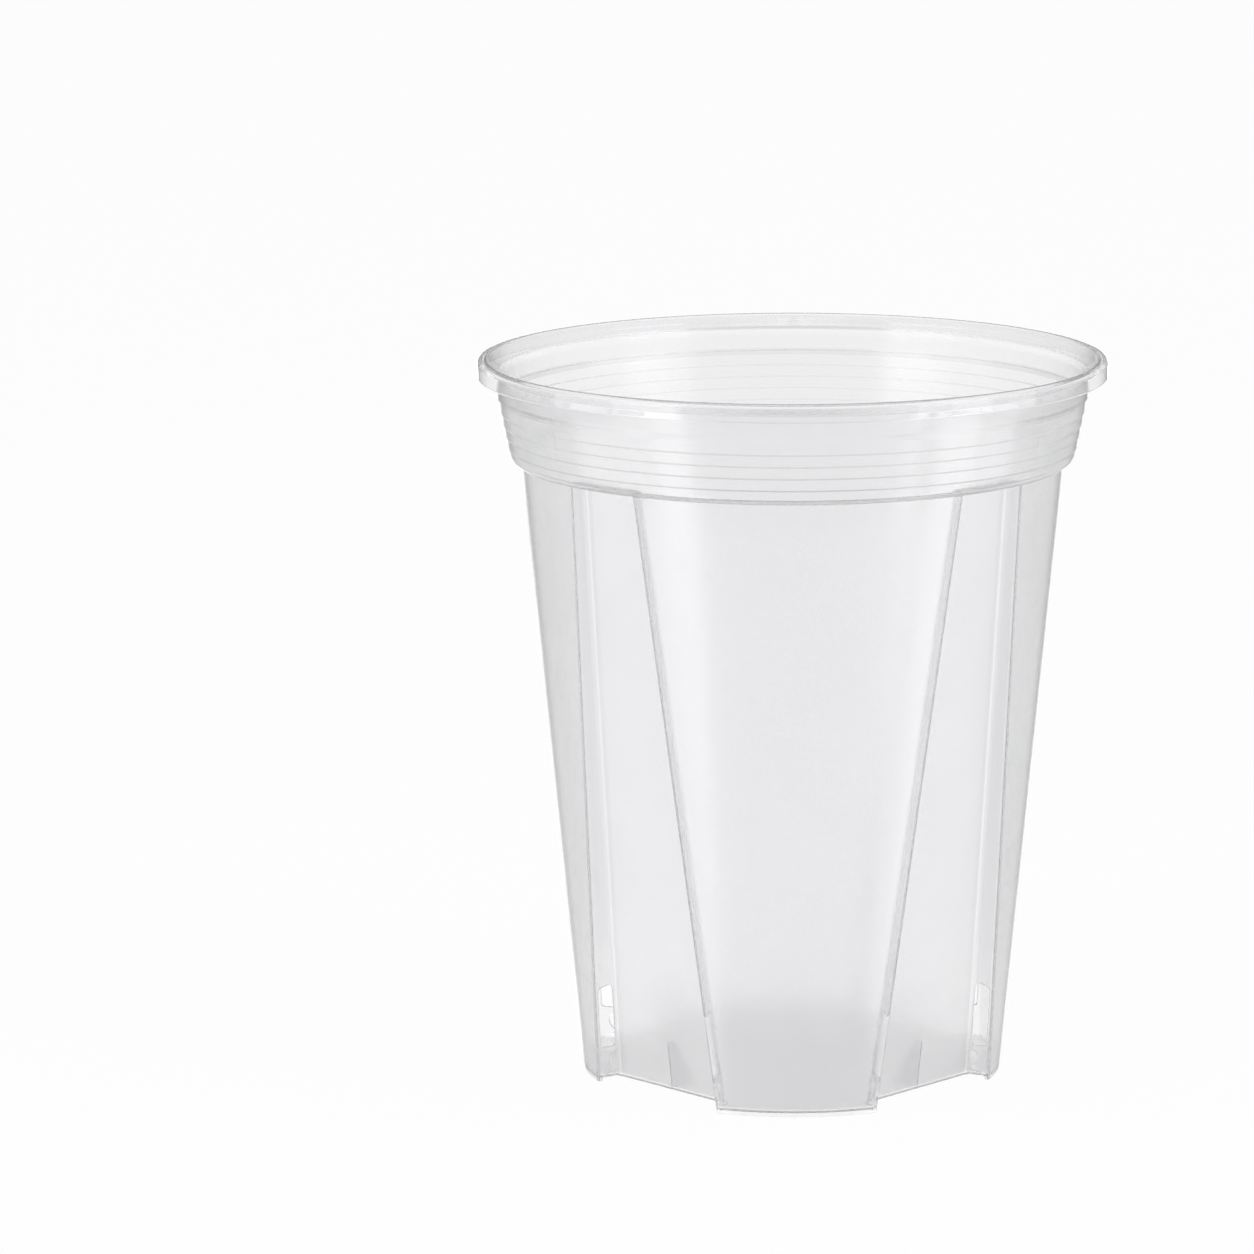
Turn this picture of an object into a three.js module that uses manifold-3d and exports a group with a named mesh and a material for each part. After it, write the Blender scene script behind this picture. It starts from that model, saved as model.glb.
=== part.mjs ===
// A clear, tapered plant pot: a thin plastic moulding, kept as the regions that its feature lines make.
// Millimetres, +Z up. The origin is on the axis, in the plane of the four feet. The front faces -Y.
import * as THREE from "three";
import { mergeVertices } from "three/addons/utils/BufferGeometryUtils.js";
import Module from "manifold-3d";

// Overall sizes
const potHeight = 190.5;
const rimRadius = 82.5;
const wall = 0.8;

// Clearance between neighbouring regions where they meet on a curved or slanted face
const seam = 0.2;

// Rim lip, an upside-down J in section
const lipHeight = 4.7; // top of the ridge to the skirt's lower edge
const lipOverhang = 5; // lip's outer face past the collar's outer wall
const lipSkin = 1; // thickness of the lip's top and skirt
const lipRidge = 1.2; // width of the flat on top
const lipRound = 1.2; // radius of the outer top edge
const lipBevel = 3; // height of the slope from the inner wall up to the flat
const lipNeck = 1; // wall that the lip keeps below its skirt
const skirtRound = 0.4; // radius of the skirt's lower edge

// Collar band and shoulder
const collarHeight = 22.3; // skirt's lower edge down to the crease under the shoulder
const collarDraft = 4; // degrees
const stepCount = 4;
const stepPitch = 3.1;
const stepDepth = 0.45; // radius lost at each fine step
const lowestStep = 4; // above the crease
const ledgeDrop = 5.1; // stacking ledge below the skirt's lower edge
const ledgeDepth = 1.2;
const shoulderRound = 2.7;
const shoulderInset = 3.2; // collar's lower corner in to the lobes

// Lobed body: radius of the lobes, how far they step out past the corners, and width of the corner panels,
// at the feet and under the shoulder
const footRadius = 55.7;
const footStep = 6.1;
const topStep = 3.9;
const footPanelWidth = 38.6;
const topPanelWidth = 20.3;
const footCurl = 1.2; // how far the feet turn in, on a quarter round
const panelLift = 1; // corner panels' lower edge above the feet

// Openings in the slot walls, from the feet up: an arch, a half-round notch and a drain slot
const archHeight = 2.7;
const notchBridge = 0.8; // wall left between the arch and the notch
const notchRadius = 2.4;
const slotBridge = 1.2; // wall left between the notch and the slot
const slotHeight = 18;
const slotInset = 0.45; // from the corner panel's outer face
const slotSlant = 1.6; // fall of the slot's top edge towards the lobe
const slotRound = 1.2;
const toolReach = 3; // how far a cutter runs past what it cuts

// Floor, level with the corner panels' lower edges, and the gussets on it
const floorThickness = 1;
const gussetThickness = 0.8;
const gussetHeight = 12;
const gussetLength = 9; // along the floor
const gussetTop = 3; // along its upper edge

// Counts of flat faces that stand for a round
const ringFaces = 60;
const lobeFaces = 12;
const edgeFaces = 4;
const notchFaces = 20;

// Levels and radii that follow from the sizes above
const lipZ = potHeight - lipHeight;
const neckZ = lipZ - lipNeck;
const shoulderZ = lipZ - collarHeight;
const ledgeZ = lipZ - ledgeDrop;
const floorTop = panelLift + floorThickness;
const radians = THREE.MathUtils.degToRad;
const collarRadius = rimRadius - lipOverhang;
const cornerZ = shoulderZ + shoulderRound;
const cornerRadius = collarOuter(cornerZ);
const notchZ = archHeight + notchBridge + notchRadius;
const slotZ = notchZ + notchRadius + slotBridge;
const foot = bodySection(footRadius, footStep, footPanelWidth);
const top = bodySection(cornerRadius - shoulderInset, topStep, topPanelWidth);

const wasm = await Module();
wasm.setup();

// Outer radius of the collar at a height: its draft, and the steps above that height.
function collarOuter(z) {
  let steps = 0;
  for (let k = 0; k < stepCount; k++) if (shoulderZ + lowestStep + k * stepPitch > z) steps += 1;
  return collarRadius - Math.tan(radians(collarDraft)) * (lipZ - z) - steps * stepDepth;
}

// One level of the lobed body. Each step runs straight towards the axis, and a corner panel joins two steps.
// half is half the angle that a lobe spans, and lean half the angle that a corner panel spans.
function bodySection(radius, step, panelWidth) {
  const corner = radius - step;
  const lean = Math.asin(panelWidth / 2 / corner);
  return { radius, corner, lean, half: Math.PI / 4 - lean, apothem: corner * Math.cos(lean) };
}

// A value or point that runs straight from the feet to the shoulder.
function alongWall(z, atFoot, atTop) {
  const share = z / shoulderZ;
  return atFoot.isVector2 ? atFoot.clone().lerp(atTop, share) : atFoot + (atTop - atFoot) * share;
}

function outlineAt(z, outline) {
  const upper = outline(top);
  return outline(foot).map((point, i) => alongWall(z, point, upper[i]));
}

function polar(radius, turn) {
  return new THREE.Vector2(radius * Math.cos(turn), radius * Math.sin(turn));
}

function arc(x, y, radius, from, to, faces) {
  const centre = new THREE.Vector2(x, y);
  const turns = Array.from({ length: faces + 1 }, (_, i) => from + ((to - from) * i) / faces);
  return turns.map((turn) => polar(radius, turn).add(centre));
}

function points(pairs) {
  return pairs.map(([x, y]) => new THREE.Vector2(x, y));
}

// A closed geometry through layers { outline, depth }, anticlockwise, of equal point count, from low to high.
function loft(layers) {
  const count = layers[0].outline.length;
  const positions = layers.flatMap(({ outline, depth }) => outline.flatMap((p) => [p.x, p.y, depth]));
  const index = [];
  for (let layer = 0; layer < layers.length - 1; layer++) {
    for (let i = 0; i < count; i++) {
      const a = layer * count + i;
      const b = layer * count + ((i + 1) % count);
      index.push(a, b, b + count, a, b + count, a + count);
    }
  }
  const last = (layers.length - 1) * count;
  for (const [a, b, c] of THREE.ShapeUtils.triangulateShape(layers[0].outline, [])) index.push(c, b, a);
  for (const [a, b, c] of THREE.ShapeUtils.triangulateShape(layers.at(-1).outline, [])) {
    index.push(last + a, last + b, last + c);
  }
  const geometry = new THREE.BufferGeometry();
  geometry.setAttribute("position", new THREE.Float32BufferAttribute(positions, 3));
  return geometry.setIndex(index);
}

function prism(outline, low, high) {
  return loft([{ outline, depth: low }, { outline, depth: high }]);
}

// A closed section [radius, height], listed down the outside and up the inside, turned about the axis.
function turned(section) {
  const profile = points([...section, section[0]]).reverse();
  return new THREE.LatheGeometry(profile, ringFaces).rotateX(Math.PI / 2);
}

function solid(geometry) {
  const bare = geometry.clone();
  bare.deleteAttribute("normal");
  bare.deleteAttribute("uv");
  const { index, attributes } = mergeVertices(bare, 1e-3);
  const vertProperties = attributes.position.array;
  const triVerts = new Uint32Array(index.array);
  return new wasm.Manifold(new wasm.Mesh({ numProp: 3, vertProperties, triVerts }));
}

function geometryOf(body) {
  const { vertProperties, triVerts } = body.getMesh();
  const geometry = new THREE.BufferGeometry();
  geometry.setAttribute("position", new THREE.BufferAttribute(vertProperties, 3));
  return geometry.setIndex(new THREE.BufferAttribute(triVerts, 1));
}

function named(name, geometry) {
  const clear = { color: 0xe9eaed, roughness: 0.18, metalness: 0, transparent: true, opacity: 0.4 };
  const mesh = new THREE.Mesh(geometry, new THREE.MeshStandardMaterial(clear));
  mesh.name = name;
  return mesh;
}

// Rim lip: up the inner wall, over the slope and the ridge, down the skirt, and back under the top.
function rimLip() {
  const neckRadius = collarOuter(neckZ);
  const slopeFoot = new THREE.Vector2(collarRadius - wall, potHeight - lipBevel);
  const slopeTop = new THREE.Vector2(rimRadius - lipRound - lipRidge, potHeight);
  const run = slopeTop.clone().sub(slopeFoot).normalize();
  const under = new THREE.Vector2(slopeFoot.x + run.y * lipSkin, slopeFoot.y - run.x * lipSkin);
  const underTopZ = potHeight - lipSkin;
  const underTop = under.x + (run.x / run.y) * (underTopZ - under.y);
  const underFootZ = under.y + (run.y / run.x) * (collarRadius - under.x);
  const edge = arc(rimRadius - lipRound, potHeight - lipRound, lipRound, Math.PI / 2, 0, edgeFaces);
  const hem = arc(rimRadius - skirtRound, lipZ + skirtRound, skirtRound, 0, -Math.PI / 2, edgeFaces / 2);
  const section = [
    [neckRadius - wall, neckZ],
    slopeFoot.toArray(),
    slopeTop.toArray(),
    ...edge.map((p) => p.toArray()),
    ...hem.map((p) => p.toArray()),
    [rimRadius - lipSkin, lipZ],
    [rimRadius - lipSkin, underTopZ],
    [underTop, underTopZ],
    [collarRadius, underFootZ],
    [neckRadius, neckZ],
  ];
  return turned(section);
}

// Inside outline of the lobed body, all the way round, a given distance in from its outer faces.
function innerOutline(section, inset) {
  const { radius, half, lean, apothem } = section;
  const inner = radius - inset;
  const ends = half - Math.asin(inset / inner);
  const reach = (apothem - inset + inset * Math.sin(lean)) / Math.cos(lean);
  const heel = new THREE.Vector2(reach, -inset).rotateAround(new THREE.Vector2(), half);
  const lobe = [new THREE.Vector2(heel.x, -heel.y), ...arc(0, 0, inner, -ends, ends, lobeFaces), heel];
  return [0, 1, 2, 3].flatMap((quarter) =>
    lobe.map((p) => p.clone().rotateAround(new THREE.Vector2(), (quarter * Math.PI) / 2)),
  );
}

// Collar band: down the outside over its steps, round the shoulder, in along the flange and up the inside.
function collarBand() {
  const neckRadius = collarOuter(neckZ);
  const section = [[neckRadius, neckZ]];
  for (let k = stepCount - 1; k >= 0; k--) {
    const z = shoulderZ + lowestStep + k * stepPitch;
    const below = collarOuter(z) - stepDepth;
    section.push([below + stepDepth, z], [below, z]);
  }
  const flangeRadius = top.apothem - wall - toolReach;
  const centre = cornerRadius - shoulderRound;
  const outside = arc(centre, cornerZ, shoulderRound, 0, -Math.PI / 2, edgeFaces);
  const inside = arc(centre, cornerZ, shoulderRound - wall, -Math.PI / 2, 0, edgeFaces);
  section.push(
    ...outside.map((p) => p.toArray()),
    [flangeRadius, shoulderZ],
    [flangeRadius, shoulderZ + wall],
    ...inside.map((p) => p.toArray()),
    [collarOuter(ledgeZ) - wall - ledgeDepth, ledgeZ],
    [collarOuter(ledgeZ) - wall, ledgeZ],
    [neckRadius - wall, neckZ],
  );
  const mouth = prism(innerOutline(top, wall), shoulderZ - toolReach, shoulderZ + wall + toolReach);
  return geometryOf(solid(turned(section)).subtract(solid(mouth)));
}

// Heights where a lobe's foot turns in, with how far in, and then the shoulder.
const curlLevels = [
  ...arc(footCurl, footCurl, footCurl, -Math.PI / 2, -Math.PI, edgeFaces).map((p) => [p.y, p.x]),
  [shoulderZ, 0],
].map(([z, inward]) => ({ z, inward }));

// Bowed outer wall of a lobe, about the +X direction.
function lobeWall() {
  const layers = curlLevels.map(({ z, inward }) => {
    const outline = outlineAt(z, ({ radius, half }) => [
      ...arc(0, 0, radius - inward, -half, half, lobeFaces),
      ...arc(0, 0, radius - inward - wall, half, -half, lobeFaces),
    ]);
    return { outline, depth: z };
  });
  return loft(layers);
}

// Corner points of a slot wall's section: two against the corner panel, then two against the lobe.
function slotWallOutline({ radius, half, lean, apothem }, inward) {
  const outer = radius - inward - wall - seam;
  const heel = (apothem - wall) / Math.cos(lean);
  const toe = heel + wall * Math.tan(lean);
  const corners = points([[heel, 0], [toe, -wall], [outer, -wall], [outer, 0]]);
  return corners.map((p) => p.rotateAround(new THREE.Vector2(), half));
}

// A cutter through a slot wall, from an outline [out from the corner, height].
function slotCutter(outline) {
  const edge = ({ half, corner }, out) => polar(corner + out, half);
  const cutter = prism(outline, -toolReach, wall + toolReach);
  const positions = cutter.attributes.position;
  for (let i = 0; i < positions.count; i++) {
    const z = positions.getY(i);
    const corner = alongWall(z, edge(foot, 0), edge(top, 0));
    const out = alongWall(z, edge(foot, 1), edge(top, 1)).sub(corner).normalize();
    const place = corner.addScaledVector(out, positions.getX(i));
    place.addScaledVector(new THREE.Vector2(out.y, -out.x), positions.getZ(i));
    positions.setXYZ(i, place.x, place.y, z);
  }
  return solid(cutter);
}

// Wall from a lobe's edge in to the corner panel, with its drain slot, notch and arched lower edge.
function slotWall() {
  const layers = curlLevels.map(({ z, inward }) => ({
    outline: outlineAt(z, (section) => slotWallOutline(section, inward)),
    depth: z,
  }));
  const past = footStep + toolReach;
  const slotTop = slotZ + slotHeight;
  const slot = [
    ...arc(slotInset + slotRound, slotZ + slotRound, slotRound, -Math.PI, -Math.PI / 2, edgeFaces),
    ...points([[past, slotZ], [past, slotTop - (slotSlant * past) / footStep]]),
    ...arc(slotInset + slotRound, slotTop - slotRound, slotRound, Math.PI / 2, Math.PI, edgeFaces),
  ];
  const notch = arc(0, notchZ, notchRadius, 0, 2 * Math.PI, notchFaces).slice(1);
  const archSize = new THREE.Vector2(footStep - wall, archHeight);
  const arch = [
    ...arc(0, 0, 1, 0, Math.PI / 2, edgeFaces * 2).map((p) => p.multiply(archSize)),
    ...points([[-toolReach, archHeight], [-toolReach, -toolReach], [archSize.x, -toolReach]]),
  ];
  const cuts = [slot, notch, arch].map(slotCutter);
  return geometryOf(cuts.reduce((left, cut) => left.subtract(cut), solid(loft(layers))));
}

// Flat panel between two lobes, about the +X direction.
function cornerPanel() {
  const section = ({ lean, apothem }) => {
    const gap = seam / Math.cos(lean);
    const inner = apothem - wall;
    const outerHalf = apothem * Math.tan(lean) - gap;
    const innerHalf = inner * Math.tan(lean) - gap;
    return points([[inner, -innerHalf], [apothem, -outerHalf], [apothem, outerHalf], [inner, innerHalf]]);
  };
  return loft([panelLift, shoulderZ].map((z) => ({ outline: outlineAt(z, section), depth: z })));
}

// Inner face of a corner panel at a height, less the clearance: where a gusset ends.
function panelFace(z) {
  return alongWall(z, foot.apothem, top.apothem) - wall - seam;
}

// Floor: a plain lobed plate inside the walls.
function floorPlate() {
  const outline = outlineAt(panelLift, (section) => innerOutline(section, wall + seam));
  return prism(outline, panelLift, floorTop);
}

// Gusset: a small upright web on the floor, against the corner panel in the +X direction.
function floorGusset() {
  const head = floorTop + gussetHeight;
  const outline = points([
    [panelFace(floorTop) - gussetLength, floorTop],
    [panelFace(floorTop), floorTop],
    [panelFace(head), head],
    [panelFace(head) - gussetTop, head],
  ]);
  return prism(outline, -gussetThickness / 2, gussetThickness / 2).rotateX(Math.PI / 2);
}

// The pot, put together: each lobe and corner is made about +X and turned to its place.
const pot = new THREE.Group();
pot.add(named("rim_lip", rimLip()));
pot.add(named("collar_band", collarBand()));
pot.add(named("floor_plate", floorPlate()));

const lobes = [
  { name: "front", turn: -90, sides: ["right", "left"] },
  { name: "right", turn: 0, sides: ["back", "front"] },
  { name: "back", turn: 90, sides: ["left", "right"] },
  { name: "left", turn: 180, sides: ["front", "back"] },
];
for (const { name, turn, sides } of lobes) {
  const lobe = new THREE.Group();
  lobe.rotation.z = radians(turn);
  const ahead = named(`slot_wall_${name}_${sides[0]}`, slotWall());
  const behind = named(`slot_wall_${name}_${sides[1]}`, slotWall());
  behind.scale.y = -1;
  lobe.add(named(`lobe_wall_${name}`, lobeWall()), ahead, behind);
  pot.add(lobe);
}

const corners = { front_right: -45, back_right: 45, back_left: 135, front_left: -135 };
for (const [name, turn] of Object.entries(corners)) {
  const corner = new THREE.Group();
  corner.rotation.z = radians(turn);
  corner.add(named(`corner_panel_${name}`, cornerPanel()), named(`floor_gusset_${name}`, floorGusset()));
  pot.add(corner);
}

export default pot;
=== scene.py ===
import math

import bmesh
import bpy
from mathutils import Matrix, Quaternion, Vector


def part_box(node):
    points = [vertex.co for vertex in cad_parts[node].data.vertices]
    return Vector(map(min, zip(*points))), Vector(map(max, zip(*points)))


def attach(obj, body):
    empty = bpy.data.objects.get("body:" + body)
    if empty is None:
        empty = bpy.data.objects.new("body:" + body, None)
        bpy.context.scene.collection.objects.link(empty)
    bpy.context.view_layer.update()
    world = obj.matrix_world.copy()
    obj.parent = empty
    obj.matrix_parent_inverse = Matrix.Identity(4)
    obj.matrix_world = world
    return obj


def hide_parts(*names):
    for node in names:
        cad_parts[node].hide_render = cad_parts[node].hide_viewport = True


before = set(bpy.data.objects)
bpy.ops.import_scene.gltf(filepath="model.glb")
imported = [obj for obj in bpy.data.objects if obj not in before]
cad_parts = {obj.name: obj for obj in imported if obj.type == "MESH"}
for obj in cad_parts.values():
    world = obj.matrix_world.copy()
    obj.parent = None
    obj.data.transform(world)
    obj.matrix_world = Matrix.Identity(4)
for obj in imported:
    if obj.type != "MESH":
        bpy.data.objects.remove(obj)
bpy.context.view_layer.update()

bpy.ops.object.select_all(action="DESELECT")

# Lobed walls and feet. Four bowed lobes stand out between four flat corner panels, all one thin clear wall
# that narrows downwards in straight lines. The lobes end lower than the panels and are the pot's feet.
# The pot is moulded in one shot, so every region here is a stretch of one section that is carried round.
wall = 0.0008
lobe_low, lobe_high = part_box("lobe_wall_front")
shoulder_height = lobe_high.z
panel_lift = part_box("corner_panel_front_right")[0].z
foot_radius = 0.0557
foot_step = 0.0061
foot_panel = 0.0386
top_radius = -lobe_low.y
top_step = 0.0039
top_panel = 0.0203
foot_section = (foot_radius, foot_step, foot_panel)
top_section = (top_radius, top_step, top_panel)
panel_turn = math.pi / 4
lobe_edge_round = 0.0009
corner_round = 0.0016
least_round = 0.00006
foot_round = 0.0003
foot_rim = 0.0008
foot_rim_round = 0.0002
foot_draft = 0.0002
crease_round = 0.0003
mouth_round = 0.0004
lobe_facets = 13
edge_facets = 4
side_facets = 3
panel_facets = 4
wall_levels = 10


def polar(radius, turn):
    return Vector((radius * math.cos(turn), radius * math.sin(turn)))


def spread(start, end, count):
    """Even values from start up to, but not including, end."""
    return [start + (end - start) * i / count for i in range(count)]


def section_angles(radius, step, panel):
    """Distance to the inner corners, the angle half a panel takes, and the angle half a lobe takes."""
    corner = radius - step
    lean = math.asin(panel / 2 / corner)
    return corner, lean, panel_turn - lean


def half_lobe(radius, step, panel, inset):
    """Outline from the middle of a lobe on +X to the middle of the panel beside it, an inset from outside."""
    corner, lean, half = section_angles(radius, step, panel)
    along = polar(1, half)
    away = polar(1, half + math.pi / 2)
    facing = polar(1, panel_turn)
    edge = max(lobe_edge_round - inset, least_round)
    side = inset + edge
    edge_centre = along * math.sqrt((radius - side) ** 2 - side**2) - away * side
    edge_turn = math.atan2(edge_centre.y, edge_centre.x)
    reach = corner * math.cos(lean) + corner_round * (1 - math.sin(lean))
    bend_centre = along * (reach / math.cos(lean)) + away * corner_round
    bend = corner_round + inset
    side_start = edge_centre + away * edge
    side_end = bend_centre - away * bend
    panel_start = bend_centre - facing * bend
    panel_middle = facing * (corner * math.cos(lean) - inset)
    outline = [polar(radius - inset, turn) for turn in spread(0, edge_turn, lobe_facets)]
    for turn in spread(edge_turn, half + math.pi / 2, edge_facets):
        outline.append(edge_centre + polar(edge, turn))
    outline += [side_start.lerp(side_end, share) for share in spread(0, 1, side_facets)]
    for turn in spread(half - math.pi / 2, panel_turn - math.pi, edge_facets):
        outline.append(bend_centre + polar(bend, turn))
    outline += [panel_start.lerp(panel_middle, share) for share in spread(0, 1, panel_facets)]
    return outline + [panel_middle]


def whole_outline(radius, step, panel, inset):
    """All four lobes, anticlockwise from the middle of the panel before +X."""
    half = half_lobe(radius, step, panel, inset)
    lobe = [Vector((point.x, -point.y)) for point in reversed(half[1:])] + half[:-1]
    turns = [Matrix.Rotation(quarter * math.pi / 2, 2) for quarter in range(4)]
    return [turn @ point for turn in turns for point in lobe]


def lobed_edge(inset, height, panel_height=None):
    """Points round the lobed wall at a height, with the panels' points at a height of their own if given."""
    at_foot = whole_outline(*foot_section, inset)
    at_top = whole_outline(*top_section, inset)
    flat = [low.lerp(high, height / shoulder_height) for low, high in zip(at_foot, at_top)]
    panel_points = panel_facets + edge_facets
    quarter = len(flat) // 4
    edge = []
    for i, point in enumerate(flat):
        on_panel = min(i % quarter, quarter - i % quarter) <= panel_points
        level = height if panel_height is None or not on_panel else panel_height
        edge.append(Vector((point.x, point.y, level)))
    return edge


def rounded(corners, facets=4):
    """A section through corners (across, height, rounding), with a rounding laid in at each of them."""
    section = []
    for i, (across, height, rounding) in enumerate(corners):
        corner = Vector((across, height))
        if rounding == 0:
            section.append(corner)
            continue
        back = (Vector(corners[i - 1][:2]) - corner).normalized()
        ahead = (Vector(corners[i + 1][:2]) - corner).normalized()
        half = back.angle(ahead) / 2
        centre = corner + (back + ahead).normalized() * (rounding / math.sin(half))
        first = corner + back * (rounding / math.tan(half)) - centre
        last = corner + ahead * (rounding / math.tan(half)) - centre
        sweep = math.atan2(first.cross(last), first.dot(last))
        for turn in spread(0, sweep, facets) + [sweep]:
            section.append(centre + Matrix.Rotation(turn, 2) @ first)
    return section


foot_inside = [
    (2 * foot_rim, panel_lift, 0),
    (foot_rim + foot_draft, panel_lift, foot_rim_round),
    (foot_rim, 0, foot_rim_round),
    (0, 0, 0),
]
foot_outside = [(foot_rim, 0, 0), (0, 0, foot_round), (0, shoulder_height, 0)]
feet = [lobed_edge(*place, panel_lift) for place in rounded(foot_inside)[:-1]]
feet += [lobed_edge(*place, place.y + panel_lift) for place in rounded(foot_outside)[1:-1]]

crease = [(0, 0, 0), (0, shoulder_height, crease_round), (-foot_rim, shoulder_height, 0)]
outside_wall = [lobed_edge(0, height) for height in spread(foot_round, shoulder_height, wall_levels)[1:]]
outside_wall += [lobed_edge(*place) for place in rounded(crease)[1:-1]]

# Floor. A plain thin plate, level with the corner panels' lower edges, that runs into the walls on a small
# rounding. It is moulded with them.
floor_thickness = 0.0004
floor_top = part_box("floor_plate")[0].z + floor_thickness
floor_round = 0.0008
floor_border = 0.002
floor_section = [
    (wall, shoulder_height, 0),
    (wall, floor_top, floor_round),
    (wall + floor_border, floor_top, 0),
]
floor_upper = [lobed_edge(*place) for place in rounded(floor_section)[1:]]

mouth = [(0, shoulder_height + wall, 0), (wall, shoulder_height + wall, mouth_round), (wall, 0, 0)]
inside_wall = [lobed_edge(*place) for place in rounded(mouth)[1:-1]]
for height in spread(shoulder_height, floor_top + floor_round, wall_levels)[1:]:
    inside_wall.append(lobed_edge(wall, height))

# Collar band and shoulder. A round band above the lobes with four fine steps outside, a stacking ledge inside
# and a rounded shoulder below, where it turns in on a narrow flange and becomes the lobed wall.
lip_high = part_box("rim_lip")[1]
rim_radius = lip_high.x
pot_height = lip_high.z
lip_height = 0.0047
lip_overhang = 0.005
collar_radius = rim_radius - lip_overhang
collar_top = pot_height - lip_height
collar_draft_degrees = 5.8
collar_draft = math.tan(math.radians(collar_draft_degrees))
step_count = 4
step_pitch = 0.0031
step_depth = 0.0003
step_rise = 0.00044
step_round = 0.0001
lowest_step = 0.004
ledge_drop = 0.0051
ledge_height = collar_top - ledge_drop
ledge_depth = 0.0006
ledge_rise = 0.0018
ledge_round = 0.0012
ledge_ring = 0.0004
ring_round = 0.00008
shoulder_round = 0.0027
shoulder_flat = 0.0005


def round_edge(radius, height, outline):
    """A circle with a point at the turn of each point of an outline, so that no face between them folds."""
    flat = [polar(radius, math.atan2(point.y, point.x)) for point in outline]
    return [Vector((point.x, point.y, height)) for point in flat]


def collar_outer(height, steps):
    """Outer radius of the collar at a height, under a number of steps."""
    return collar_radius - collar_draft * (collar_top - height) - steps * step_depth


shoulder_corner = collar_outer(shoulder_height, step_count)
flange_start = top_radius + shoulder_flat
step_heights = [shoulder_height + lowest_step + step * step_pitch for step in range(step_count)]
collar_outside = [
    (flange_start, shoulder_height, 0),
    (shoulder_corner, shoulder_height, shoulder_round),
]
for step, height in enumerate(step_heights):
    steps_above = step_count - step
    below = height - step_rise / 2
    above = height + step_rise / 2
    collar_outside.append((collar_outer(below, steps_above), below, step_round))
    collar_outside.append((collar_outer(above, steps_above - 1), above, step_round))
ring_radius = collar_outer(ledge_height, 0)
collar_outside.append((ring_radius, ledge_height, ring_round))
collar_outside.append((ring_radius + ledge_ring, ledge_height, ring_round))

ledge_outer = ring_radius - wall
ledge_inner = ledge_outer - ledge_depth
collar_inside = [
    (ledge_outer, ledge_height + ledge_rise / 2, ledge_round),
    (ledge_inner, ledge_height - ledge_rise / 2, ledge_round),
    (shoulder_corner - wall, shoulder_height + wall, shoulder_round - wall),
    (flange_start, shoulder_height + wall, 0),
]

# Lip. The rim rolls outwards in an upside-down J: a slope up from the inner wall, a narrow flat ridge, a
# round outer edge and a short skirt, hollow underneath. It stiffens the thin wall and is moulded with it.
lip_skin = 0.001
lip_ridge = 0.0012
lip_round = 0.0012
lip_bevel = 0.003
slope_round = 0.0006
hem_round = 0.0004
hollow_round = 0.0004

slope_foot = Vector((collar_radius - wall, pot_height - lip_bevel))
slope_top = Vector((rim_radius - lip_round - lip_ridge, pot_height))
slope = (slope_top - slope_foot).normalized()
under_slope = slope_foot + Vector((slope.y, -slope.x)) * lip_skin
hollow_top = pot_height - lip_skin
hollow_start = under_slope.x + slope.x / slope.y * (hollow_top - under_slope.y)
hollow_foot = under_slope.y + slope.y / slope.x * (collar_radius - under_slope.x)
lip = [
    (collar_radius, hollow_foot, hollow_round),
    (hollow_start, hollow_top, hollow_round),
    (rim_radius - lip_skin, hollow_top, hollow_round),
    (rim_radius - lip_skin, collar_top, hem_round),
    (rim_radius, collar_top, hem_round),
    (rim_radius, pot_height, lip_round),
    (*slope_top, slope_round),
    (*slope_foot, slope_round),
]
top_outline = whole_outline(*top_section, -crease_round)
rim_section = rounded(collar_outside + lip + collar_inside)
collar_and_lip = [round_edge(*place, top_outline) for place in rim_section]

# One moulding. The floor's underside is drawn first, and its edge is then carried round the feet, up the
# outside, over the lip and down the inside to the top of the floor, where it is closed.


def drawn_out(outlines, selected, extrude):
    """A face on the first outline, whose edge is drawn out to each of the others."""
    bpy.ops.mesh.primitive_circle_add(vertices=len(outlines[0]), radius=foot_radius, fill_type="NGON")
    block = bpy.context.object
    bpy.ops.object.mode_set(mode="EDIT")
    bpy.ops.mesh.select_mode(type=selected)
    bpy.ops.mesh.select_all(action="SELECT")
    for number, outline in enumerate(outlines):
        if number > 0:
            extrude()
        mesh = bmesh.from_edit_mesh(block.data)
        mesh.verts.ensure_lookup_table()
        for vertex, point in zip(mesh.verts[-len(outline):], outline):
            vertex.co = point
    bmesh.update_edit_mesh(block.data)
    return block


def turn_outwards():
    """Faces all of the edited mesh outwards, and leaves it."""
    bpy.ops.mesh.select_all(action="SELECT")
    bpy.ops.mesh.normals_make_consistent(inside=False)
    bpy.ops.object.mode_set(mode="OBJECT")


edges = feet + outside_wall + collar_and_lip + inside_wall + floor_upper
pot = drawn_out(edges, "EDGE", bpy.ops.mesh.extrude_edges_move)
pot.name = "pot_moulding"
bpy.ops.mesh.edge_face_add()
turn_outwards()

# Drain openings. Each narrow wall at a lobe's side has a tall slot, a half-round notch at the inner corner
# and an arched lower edge. In the mould they are shut-offs, where the two halves meet through the wall.
arch_height = 0.0027
notch_radius = 0.0024
notch_bridge = 0.0008
notch_height = arch_height + notch_bridge + notch_radius
slot_inset = 0.00045
slot_bridge = 0.0012
slot_foot = notch_height + notch_radius + slot_bridge
slot_height = 0.018
slot_slant = 0.0016
slot_gap = 0.0002
slot_round = 0.0012
punch_reach = 0.003
arch_reach = 0.0001
round_facets = 8


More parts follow.
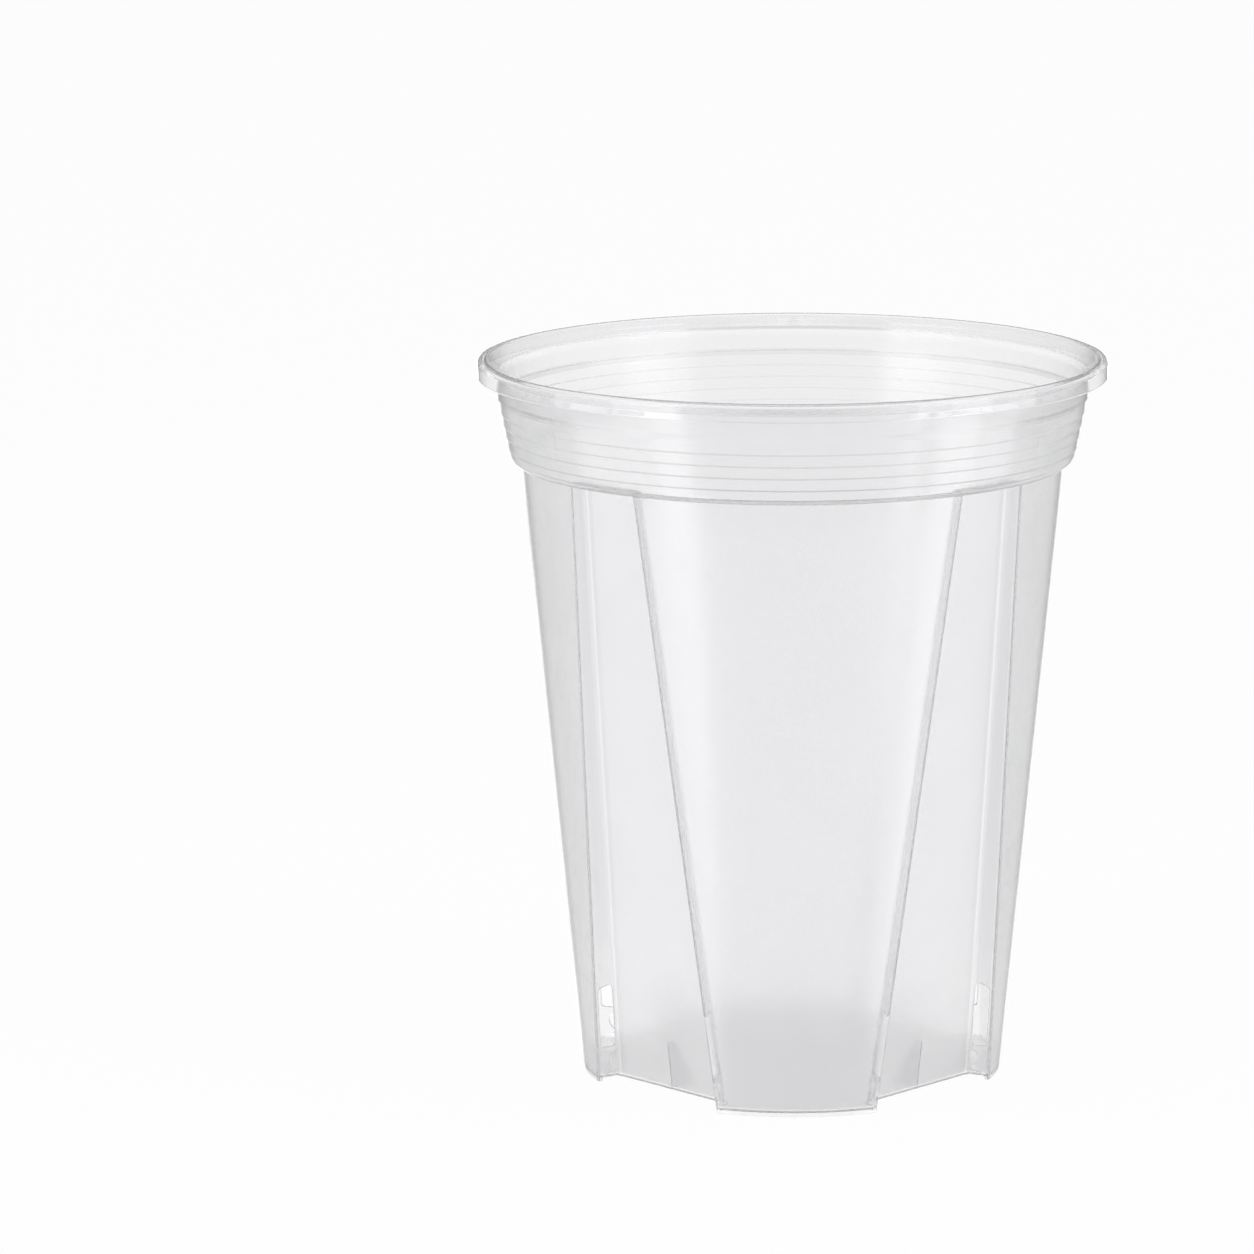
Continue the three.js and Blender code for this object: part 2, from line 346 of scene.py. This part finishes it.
def beside_corner(out, height, through):
    """A place on the narrow wall: out from the inner corner, up, and through the wall towards the lobe."""
    ends = []
    for section in (foot_section, top_section):
        reach, _, half = section_angles(*section)
        ends.append((polar(reach, half), polar(reach + 1, half)))
    share = height / shoulder_height
    corner = ends[0][0].lerp(ends[1][0], share)
    along = (ends[0][1].lerp(ends[1][1], share) - corner).normalized()
    flat = corner + along * out + Vector((along.y, -along.x)) * through
    return Vector((flat.x, flat.y, height))


def prism(near, far):
    """A closed block between two outlines of equal count."""
    block = drawn_out((near, far), "VERT", bpy.ops.mesh.extrude_region_move)
    turn_outwards()
    return block


def four_round(block, first_turn, mirrored):
    """The block copied to its four places round the axis, and to their mirror images if asked."""
    places = []
    for quarter in range(4):
        turn = Matrix.Rotation(first_turn + quarter * math.pi / 2, 4, "Z")
        places.append(turn)
        if mirrored:
            places.append(turn @ Matrix.Scale(-1, 4, (0, 1, 0)))
    copies = []
    for place in places:
        copy = block.copy()
        copy.data = block.data.copy()
        copy.data.transform(place)
        if place.determinant() < 0:
            copy.data.flip_normals()
        bpy.context.collection.objects.link(copy)
        copies.append(copy)
    bpy.data.objects.remove(block)
    return copies


def select(blocks):
    """Selects these blocks alone, the first of them as the active one."""
    bpy.ops.object.select_all(action="DESELECT")
    for block in blocks:
        block.select_set(True)
    bpy.context.view_layer.objects.active = blocks[0]


def joined(blocks):
    select(blocks)
    bpy.ops.object.join()
    return bpy.context.object


def combine(tool, operation):
    """Cuts the tool out of the moulding, or adds it, and clears the tool away."""
    select([pot])
    change = pot.modifiers.new(operation, "BOOLEAN")
    change.operation = operation
    change.solver = "MANIFOLD"
    change.object = tool
    bpy.ops.object.modifier_apply(modifier=change.name)
    bpy.data.objects.remove(tool)


def punch(outline, far_reach):
    """A cutter through the narrow wall, from an outline (out, height), and how far it goes on inside."""
    near = [beside_corner(out, height, -punch_reach) for out, height in outline]
    far = [beside_corner(out, height, wall + far_reach) for out, height in outline]
    return four_round(prism(near, far), 0, True)


slot_step = foot_step + (top_step - foot_step) * (slot_foot + slot_height) / shoulder_height
slot_reach = slot_step - wall - slot_gap - slot_inset
arch_width = foot_step - wall - slot_gap
slot_outline = rounded(
    [
        (slot_inset + slot_reach / 2, slot_foot, 0),
        (slot_inset + slot_reach, slot_foot, slot_round / 2),
        (slot_inset + slot_reach, slot_foot + slot_height - slot_slant, slot_round),
        (slot_inset, slot_foot + slot_height, slot_round),
        (slot_inset, slot_foot, slot_round),
        (slot_inset + slot_reach / 2, slot_foot, 0),
    ]
)[:-1]
notch_outline = []
for turn in spread(-math.pi / 2, math.pi / 2, round_facets) + [math.pi / 2]:
    place = polar(notch_radius, turn)
    notch_outline.append(Vector((slot_inset / 2 + place.x, notch_height + place.y)))
arch_outline = [Vector((0, -punch_reach)), Vector((arch_width, -punch_reach))]
for turn in spread(0, math.pi / 2, round_facets) + [math.pi / 2]:
    arch_outline.append(Vector((arch_width * math.cos(turn), arch_height * math.sin(turn))))
openings = punch(slot_outline, punch_reach) + punch(notch_outline, punch_reach)
openings += punch(arch_outline, arch_reach)
combine(joined(openings), "DIFFERENCE")

# Gussets. A small upright web stands on the floor against the middle of each corner panel, and thins inwards
# to come out of the mould. It is part of the moulding too, and keeps the thin panel's foot from bowing.
web_thickness = 0.0003
web_edge = 0.0002
web_bite = wall / 2
floor_bite = floor_thickness / 2
gusset_length = 0.009
gusset_top = 0.003
gusset_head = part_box("floor_gusset_front_right")[1].z
foot_corner, foot_lean = section_angles(*foot_section)[:2]
top_corner, top_lean = section_angles(*top_section)[:2]


def in_panel(height):
    """Distance from the axis to the middle of a corner panel's wall at a height."""
    share = height / shoulder_height
    foot_reach = foot_corner * math.cos(foot_lean)
    top_reach = top_corner * math.cos(top_lean)
    return foot_reach + (top_reach - foot_reach) * share - web_bite


gusset_foot = floor_top - floor_bite
gusset_outline = [
    (in_panel(floor_top) - gusset_length, gusset_foot, web_edge),
    (in_panel(gusset_foot), gusset_foot, web_thickness),
    (in_panel(gusset_head), gusset_head, web_thickness),
    (in_panel(gusset_head) - gusset_top, gusset_head, web_edge),
]
gusset = prism(
    [Vector((out, -thickness / 2, height)) for out, height, thickness in gusset_outline],
    [Vector((out, thickness / 2, height)) for out, height, thickness in gusset_outline],
)
combine(joined(four_round(gusset, panel_turn, False)), "UNION")

# Finish. Clear, faintly cool, slightly milky plastic, with a gloss soft enough to blur what is behind a wall.
# The collar and the lip are glossier. The steps' risers and the ledge get painted shade: a darker colour that
# stands in for the dark lines that light makes there. The skin has a very fine unevenness from the flow of
# the plastic in the mould.
body_tint = (0.916, 0.916, 0.924, 1)
collar_tint = (0.89, 0.89, 0.897, 1)
lip_tint = (0.94, 0.94, 0.946, 1)
plastic_index = 1.49
plastic_clearness = 1.0
gloss_low = 0.18
gloss_high = 0.26
collar_gloss = 0.17
lip_gloss = 0.05
satin_fade = 0.012
satin_height = shoulder_height - satin_fade
lip_start = collar_top - lip_skin
# Painted shade: the share of the tint that the steps' risers and the ledge keep.
painted_step_shade = 0.7
least_lean = 0.15
full_lean = 0.5
step_middle = (step_heights[0] + step_heights[-1]) / 2
step_reach = (step_heights[-1] - step_heights[0]) / 2 + step_rise
ledge_reach = 0.001
flow_scale = 60
flow_detail = 3
ripple_scale = 220
ripple_detail = 2
ripple_strength = 0.03
ripple_depth = 0.0002
smooth_angle = math.radians(32)
large_face_weight = 100
sliver_width = 0.000002


def feed(socket, given):
    """Links a node's output to a socket, or sets the socket to a plain value."""
    if isinstance(given, bpy.types.NodeSocket):
        socket.id_data.links.new(given, socket)
    else:
        socket.default_value = given


def reckoned(tree, operation, *values):
    """What a Math node makes of outputs and numbers."""
    node = tree.nodes.new("ShaderNodeMath")
    node.operation = operation
    for socket, value in zip(node.inputs, values):
        feed(socket, value)
    return node.outputs["Value"]


def faded(tree, value, start, end, low=0, high=1, soft=False):
    """A value that goes from low to high while another goes from start to end."""
    node = tree.nodes.new("ShaderNodeMapRange")
    if soft:
        node.interpolation_type = "SMOOTHSTEP"
    feed(node.inputs["Value"], value)
    feed(node.inputs["From Min"], start)
    feed(node.inputs["From Max"], end)
    feed(node.inputs["To Min"], low)
    feed(node.inputs["To Max"], high)
    return node.outputs["Result"]


def banded(tree, value, stops):
    """The colour that stops (place, colour) give at a value."""
    node = tree.nodes.new("ShaderNodeValToRGB")
    elements = node.color_ramp.elements
    elements.remove(elements[1])
    for number, (stop, colour) in enumerate(stops):
        if number > 0:
            elements.new(stop)
        elements[number].position = stop
        elements[number].color = colour
    feed(node.inputs["Fac"], value)
    return node.outputs["Color"]


def noise(tree, place, scale, detail):
    node = tree.nodes.new("ShaderNodeTexNoise")
    feed(node.inputs["Vector"], place)
    feed(node.inputs["Scale"], scale)
    feed(node.inputs["Detail"], detail)
    return node.outputs["Fac"]


def split(tree, vector):
    """The X, Y and Z of a vector."""
    node = tree.nodes.new("ShaderNodeSeparateXYZ")
    feed(node.inputs["Vector"], vector)
    return node.outputs


select([pot])
bpy.ops.object.mode_set(mode="EDIT")
bpy.ops.mesh.select_all(action="SELECT")
bpy.ops.mesh.dissolve_degenerate(threshold=sliver_width)
turn_outwards()
bpy.ops.object.shade_smooth_by_angle(angle=smooth_angle)
true_faces = pot.modifiers.new("true_faces", "WEIGHTED_NORMAL")
true_faces.mode = "FACE_AREA"
true_faces.weight = large_face_weight
true_faces.keep_sharp = True
bpy.ops.object.modifier_apply(modifier=true_faces.name)

clear_plastic = bpy.data.materials.new("clear_plastic")
clear_plastic.use_nodes = True
plastic = clear_plastic.node_tree
skin = plastic.nodes["Principled BSDF"]
skin.inputs["IOR"].default_value = plastic_index
skin.inputs["Transmission Weight"].default_value = plastic_clearness
place = plastic.nodes.new("ShaderNodeTexCoord").outputs["Object"]
point_height = split(plastic, place)["Z"]

in_collar = faded(plastic, point_height, satin_height, shoulder_height)
in_lip = faded(plastic, point_height, lip_start, collar_top)
flow = noise(plastic, place, flow_scale, flow_detail)
gloss = faded(plastic, flow, 0, 1, gloss_low, gloss_high)
polish = faded(plastic, in_collar, 0, 1, gloss, collar_gloss)
feed(skin.inputs["Roughness"], faded(plastic, in_lip, 0, 1, polish, lip_gloss))

tint_stops = (
    (satin_height / pot_height, body_tint),
    (shoulder_height / pot_height, collar_tint),
    (lip_start / pot_height, collar_tint),
    (collar_top / pot_height, lip_tint),
)
tint = banded(plastic, reckoned(plastic, "DIVIDE", point_height, pot_height), tint_stops)
# Painted shade: the colour is darkened on the steps' downward-facing risers and on the ledge's upward face,
# standing in for the dark lines that light makes at these edges.
lean = split(plastic, plastic.nodes.new("ShaderNodeNewGeometry").outputs["Normal"])["Z"]
down_on_steps = faded(plastic, lean, -least_lean, -full_lean, soft=True)
up_on_ledge = faded(plastic, lean, least_lean, full_lean, soft=True)
in_steps = reckoned(plastic, "COMPARE", point_height, step_middle, step_reach)
near_ledge = reckoned(plastic, "COMPARE", point_height, ledge_height, ledge_reach)
painted_riser_mask = reckoned(plastic, "MULTIPLY", in_steps, down_on_steps)
painted_ledge_mask = reckoned(plastic, "MULTIPLY", near_ledge, up_on_ledge)
painted_shade_mask = reckoned(plastic, "MAXIMUM", painted_riser_mask, painted_ledge_mask)
painted_shade_tint = plastic.nodes.new("ShaderNodeVectorMath")
painted_shade_tint.operation = "SCALE"
feed(painted_shade_tint.inputs[0], tint)
feed(painted_shade_tint.inputs["Scale"], faded(plastic, painted_shade_mask, 0, 1, 1, painted_step_shade))
feed(skin.inputs["Base Color"], painted_shade_tint.outputs["Vector"])

bump = plastic.nodes.new("ShaderNodeBump")
bump.inputs["Strength"].default_value = ripple_strength
bump.inputs["Distance"].default_value = ripple_depth
feed(bump.inputs["Height"], noise(plastic, place, ripple_scale, ripple_detail))
feed(skin.inputs["Normal"], bump.outputs["Normal"])
pot.data.materials.clear()
pot.data.materials.append(clear_plastic)
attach(pot, "root")
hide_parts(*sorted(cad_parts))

# Studio floor. A plain pale sheet that shows white to the camera and through the plastic, and keeps a faint
# shadow of the pot.
floor_size = 14
floor_gap = 0.0001
floor_paint = (0.86, 0.86, 0.86, 1)
floor_white = 0.96

bpy.ops.object.select_all(action="DESELECT")
bpy.ops.mesh.primitive_plane_add(size=floor_size, location=(0, 0, -floor_gap))
studio_floor = bpy.context.object
studio_floor.name = "studio_floor"
floor_sheet = bpy.data.materials.new("floor_sheet")
floor_sheet.use_nodes = True
paper = floor_sheet.node_tree
paper.nodes.clear()
surface = paper.nodes.new("ShaderNodeOutputMaterial")
blend = paper.nodes.new("ShaderNodeMixShader")
paint = paper.nodes.new("ShaderNodeBsdfDiffuse")
paint.inputs["Color"].default_value = floor_paint
glow = paper.nodes.new("ShaderNodeEmission")
ray = paper.nodes.new("ShaderNodeLightPath").outputs
seen = reckoned(paper, "MAXIMUM", ray["Is Camera Ray"], ray["Is Transmission Ray"])
feed(blend.inputs["Fac"], reckoned(paper, "MULTIPLY", seen, floor_white))
feed(blend.inputs[1], paint.outputs["BSDF"])
feed(blend.inputs[2], glow.outputs["Emission"])
feed(surface.inputs["Surface"], blend.outputs["Shader"])
studio_floor.data.materials.append(floor_sheet)
studio_floor.visible_glossy = False
studio_floor.visible_shadow = False

# Studio light. White behind the pot and seen through it, a shade less above the horizon. In its reflections a
# pale sheet lies below and a grey room above, with a dark card straight behind. A broad panel and a brighter
# strip on each side give the upright streaks, and light turned back inside the walls sees them as bands.
room_level = 0.5
mirrored_room = 0.3
mirrored_sheet = 0.95
sheet_edge = -0.05
sheet_start = -0.25
room_edge = 0.15
backdrop_edge = 0.0
backdrop_end = 0.12
above_backdrop = 0.8
one_wall_backdrop = 0.95
one_wall_faces = 2.5
dark_card = 0.25
card_start = 0.8
card_edge = 0.97
no_mirror = 0.5
lamp_glow = 2.2
lamp_edges = ((38, 0), (42, 1), (66, 1), (72, 0.45), (93, 0.45), (97, 0))
half_turn = 180
lamp_power = 4
lamp_panels = (
    ("panel_left", -68, 1.0, 0.95, 2.4, 0, 1.1),
    ("panel_right", 68, 1.0, 0.95, 2.4, 0, 1.25),
    ("strip_left", -52.5, 0.9, 0.4, 2.2, 0, 1.1),
    ("strip_right", 63.5, 0.9, 0.27, 2.2, 0, 1.05),
    ("panel_back", 180, 1.2, 0.7, 1.0, -0.35, 1.3),
)

world = bpy.data.worlds.new("studio")
bpy.context.scene.world = world
world.use_nodes = True
studio = world.node_tree
room = studio.nodes["Background"]
room.inputs["Color"].default_value = (1, 1, 1, 1)
ray = studio.nodes.new("ShaderNodeLightPath").outputs
way = split(studio, studio.nodes.new("ShaderNodeTexCoord").outputs["Generated"])

behind = faded(studio, way["Y"], -room_edge, room_edge, soft=True)
backdrop = faded(studio, way["Z"], backdrop_edge, backdrop_end, 1, above_backdrop, True)
unmirrored = reckoned(studio, "LESS_THAN", ray["Glossy Depth"], no_mirror)
one_wall = reckoned(studio, "LESS_THAN", ray["Transmission Depth"], one_wall_faces)
past_one_wall = reckoned(studio, "MULTIPLY", one_wall, one_wall_backdrop)
sweep = reckoned(studio, "MAXIMUM", backdrop, past_one_wall)
open_way = reckoned(studio, "MAXIMUM", behind, unmirrored)
white = reckoned(studio, "MULTIPLY", open_way, sweep)
through = reckoned(studio, "MULTIPLY", white, ray["Is Transmission Ray"])
seen = reckoned(studio, "MAXIMUM", ray["Is Camera Ray"], through)

sheet = faded(studio, way["Z"], sheet_start, sheet_edge, mirrored_sheet, mirrored_room, True)
card = faded(studio, way["Y"], card_start, card_edge, 1, dark_card, True)
carded = reckoned(studio, "MULTIPLY", sheet, card)
mirrored = faded(studio, ray["Is Glossy Ray"], 0, 1, room_level, carded)

sideways = reckoned(studio, "ABSOLUTE", way["X"])
forwards = reckoned(studio, "MULTIPLY", way["Y"], -1)
side_angle = reckoned(studio, "ARCTAN2", sideways, forwards)
lamp_stops = [(degrees / half_turn, (bright, bright, bright, 1)) for degrees, bright in lamp_edges]
lamps = banded(studio, reckoned(studio, "DIVIDE", side_angle, math.pi), lamp_stops)
lamp_light = reckoned(studio, "MULTIPLY", lamps, lamp_glow)
turned_back = reckoned(studio, "GREATER_THAN", ray["Glossy Depth"], no_mirror)
inside_light = reckoned(studio, "MULTIPLY", lamp_light, turned_back)
through_light = reckoned(studio, "MULTIPLY", inside_light, ray["Is Transmission Ray"])
lit_room = reckoned(studio, "ADD", through_light, mirrored)
feed(room.inputs["Strength"], reckoned(studio, "MAXIMUM", seen, lit_room))

for name, side_turn, distance, width, height, middle, brightness in lamp_panels:
    lamp = bpy.data.lights.new(name, "AREA")
    lamp.shape = "RECTANGLE"
    lamp.size = width
    lamp.size_y = height
    lamp.energy = lamp_power * width * height * brightness
    panel = bpy.data.objects.new(name, lamp)
    bpy.context.collection.objects.link(panel)
    turn = math.radians(side_turn)
    away = Vector((math.sin(turn), -math.cos(turn), 0))
    panel.location = away * distance + Vector((0, 0, middle))
    panel.rotation_euler = (-away).to_track_quat("-Z", "Y").to_euler()
    panel.visible_camera = False
    panel.visible_transmission = False
    panel.visible_diffuse = name != "panel_back"

# Camera. A long lens a little above the rim, turned so that the pot stands right of the middle of the frame.
# Light that runs along inside the thin walls leaves them only after many turns, so it is followed that far.
camera_target = Vector((0, 0, 0.095))
camera_distance = 1.539
camera_azimuth = math.radians(-1.511)
camera_rise = math.radians(12.018)
camera_pan = math.radians(-1.626)
camera_tilt = math.radians(0.85)
camera_roll = math.radians(0.076)
camera_lens = 166.69
sensor_width = 36
wall_crossings = 40

lens = bpy.data.cameras.new("camera")
lens.lens = camera_lens
lens.sensor_width = sensor_width
camera = bpy.data.objects.new("camera", lens)
bpy.context.collection.objects.link(camera)
level_back = Vector((math.sin(camera_azimuth), -math.cos(camera_azimuth), 0))
back = level_back * math.cos(camera_rise) + Vector((0, 0, math.sin(camera_rise)))
camera.location = camera_target + back * camera_distance
camera.rotation_mode = "QUATERNION"
facing = (-back).to_track_quat("-Z", "Y")
facing = facing @ Quaternion((0, 1, 0), -camera_pan)
facing = facing @ Quaternion((1, 0, 0), camera_tilt)
camera.rotation_quaternion = facing @ Quaternion((0, 0, 1), camera_roll)
bpy.context.scene.camera = camera
bpy.context.scene.view_settings.view_transform = "Standard"
bpy.context.scene.cycles.max_bounces = wall_crossings
bpy.context.scene.cycles.transmission_bounces = wall_crossings
bpy.context.scene.cycles.glossy_bounces = wall_crossings
